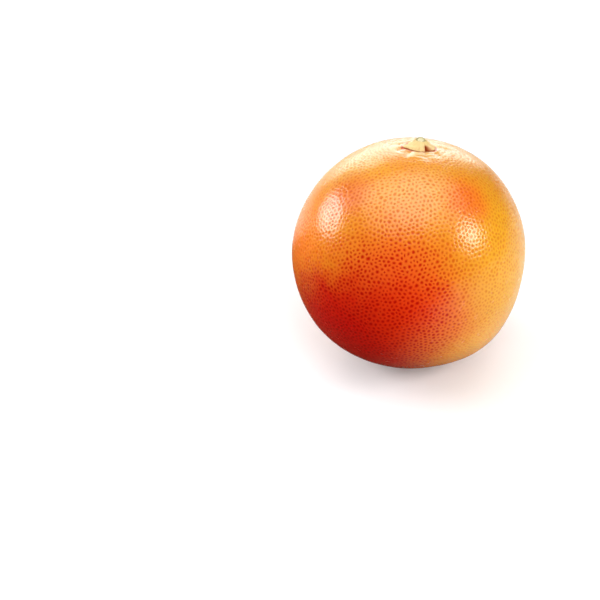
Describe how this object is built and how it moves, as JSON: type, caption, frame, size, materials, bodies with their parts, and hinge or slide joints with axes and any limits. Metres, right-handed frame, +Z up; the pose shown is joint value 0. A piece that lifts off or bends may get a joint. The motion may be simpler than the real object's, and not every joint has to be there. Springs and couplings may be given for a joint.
{
  "type": "grapefruit",
  "caption": "Whole grapefruit with pitted peel, a lobed calyx and a stalk stub at its stem end, resting on a small flat spot.",
  "frame": {"origin": "on the surface that the fruit rests on, under the middle of its bounding box and its flat spot", "axes": "+Z up; the stem axis leans 10 degrees back from +Z towards +Y and 4.5 degrees towards +X; the picture's camera looks along +Y and down"},
  "size_m": [0.1097, 0.11, 0.1097],
  "materials": {
    "peel": null,
    "dried_sepals": "dry, pale yellow-green sepals, matt and woody",
    "stalk_scar": "dark olive ring of a broken stalk with a paler core, rough and matt"
  },
  "bodies": {
    "root": {"fruit": "peel", "calyx": "dried_sepals", "stem_stub": "stalk_scar"}
  },
  "joints": []
}
